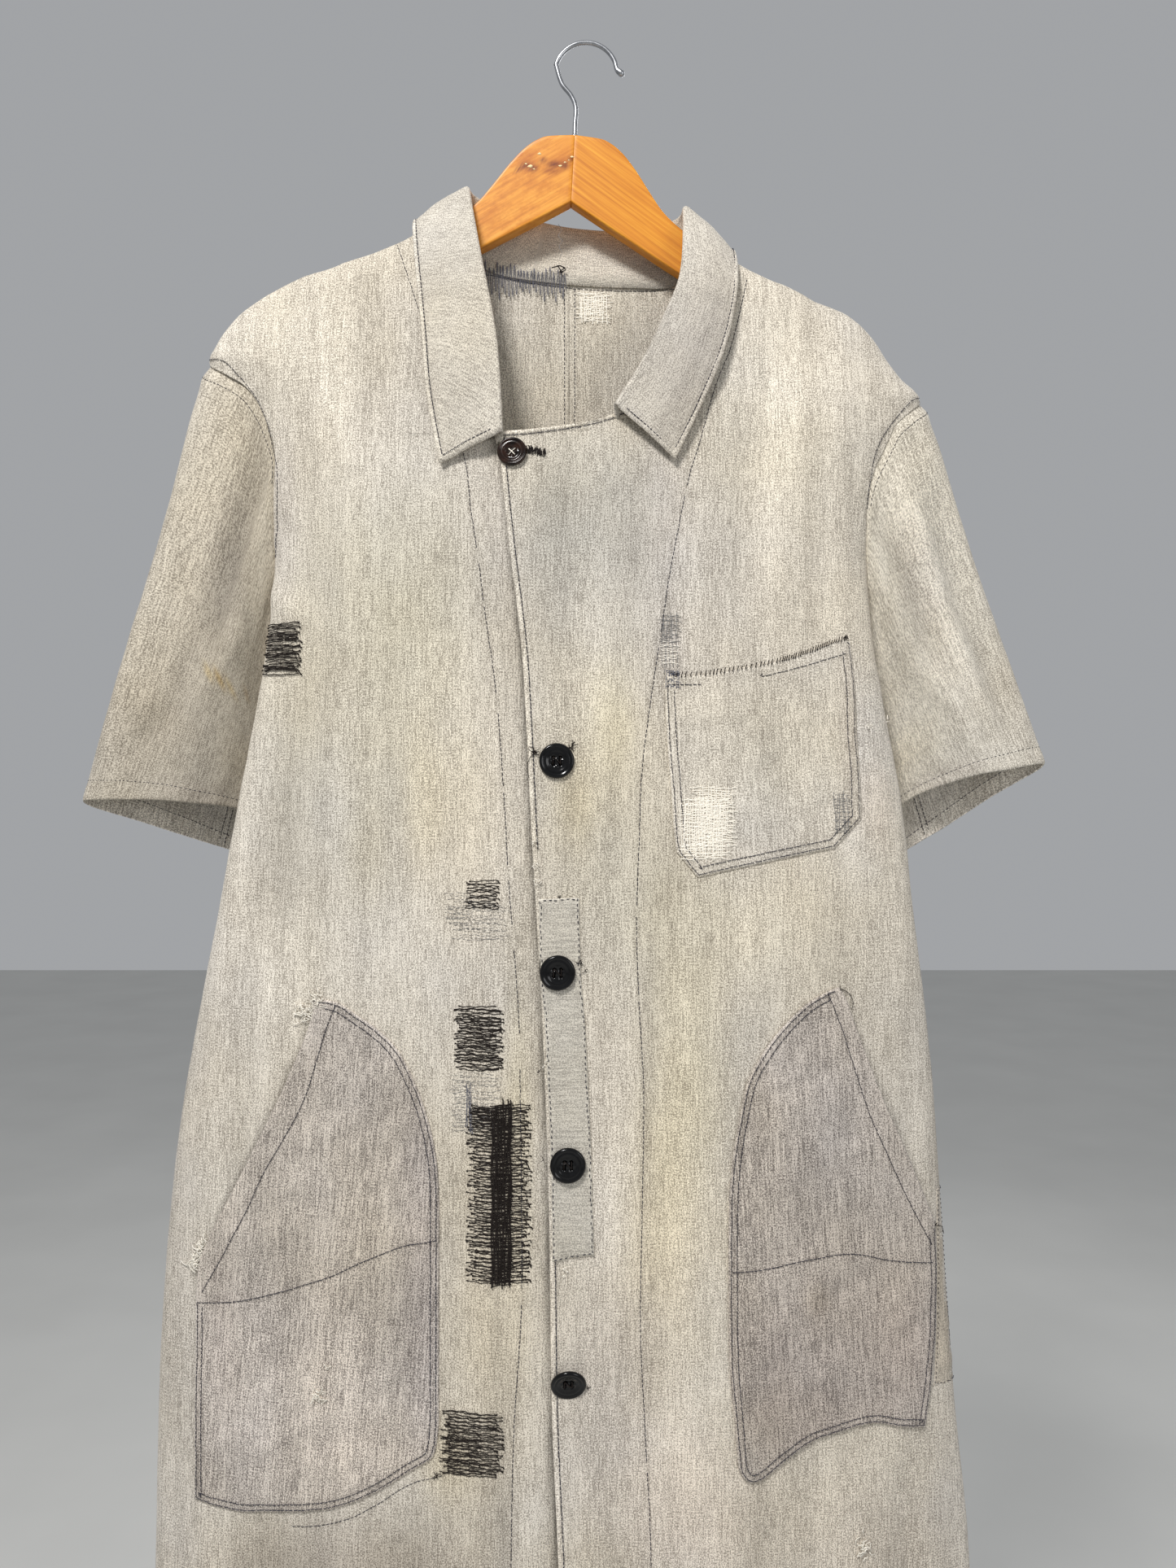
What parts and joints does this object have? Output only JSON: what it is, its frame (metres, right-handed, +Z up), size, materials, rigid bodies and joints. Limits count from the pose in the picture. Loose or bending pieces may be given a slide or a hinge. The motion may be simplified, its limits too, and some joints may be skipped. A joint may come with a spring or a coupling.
{
  "type": "short-sleeved work coat with mended patches, on a wooden hanger",
  "caption": "Short-sleeved buttoned cloth coat with a turned-down collar, patch pockets and mending, hanging on a two-part wooden hanger with a wire hook.",
  "frame": {"origin": "Inside top of the wire hook, where the nail or rail that carries the hanger touches it.", "axes": "+Z up. +X to the right of someone facing the front of the coat, towards the wearer's left. The front faces -Y."},
  "size_m": [0.7065, 0.1027, 1.2653],
  "materials": {
    "coat_cloth": "slubbed plain-weave cotton and linen, washed soft",
    "collar_cloth": "slubbed plain weave, partly on the bias",
    "pocket_cloth": "slubbed plain weave, slightly darker",
    "patch_cloth": "greyer plain weave",
    "horn_button": "turned brown horn, satin",
    "black_button": "black, satin",
    "hanger_wood": "varnished",
    "hook_steel": "bright wire"
  },
  "bodies": {
    "root": {"right_front": "coat_cloth", "left_front": "coat_cloth", "right_back": "coat_cloth", "left_back": "coat_cloth", "right_sleeve": "coat_cloth", "left_sleeve": "coat_cloth", "chest_pocket": "coat_cloth", "collar": "collar_cloth", "right_hip_pocket": "pocket_cloth", "left_hip_pocket": "pocket_cloth", "side_patch": "patch_cloth", "placket_patch": "patch_cloth", "button_1": "horn_button", "button_2": "black_button", "button_3": "black_button", "button_4": "black_button", "button_5": "black_button", "hanger_right": "hanger_wood", "hanger_left": "hanger_wood", "hanger_hook": "hook_steel"}
  },
  "joints": []
}
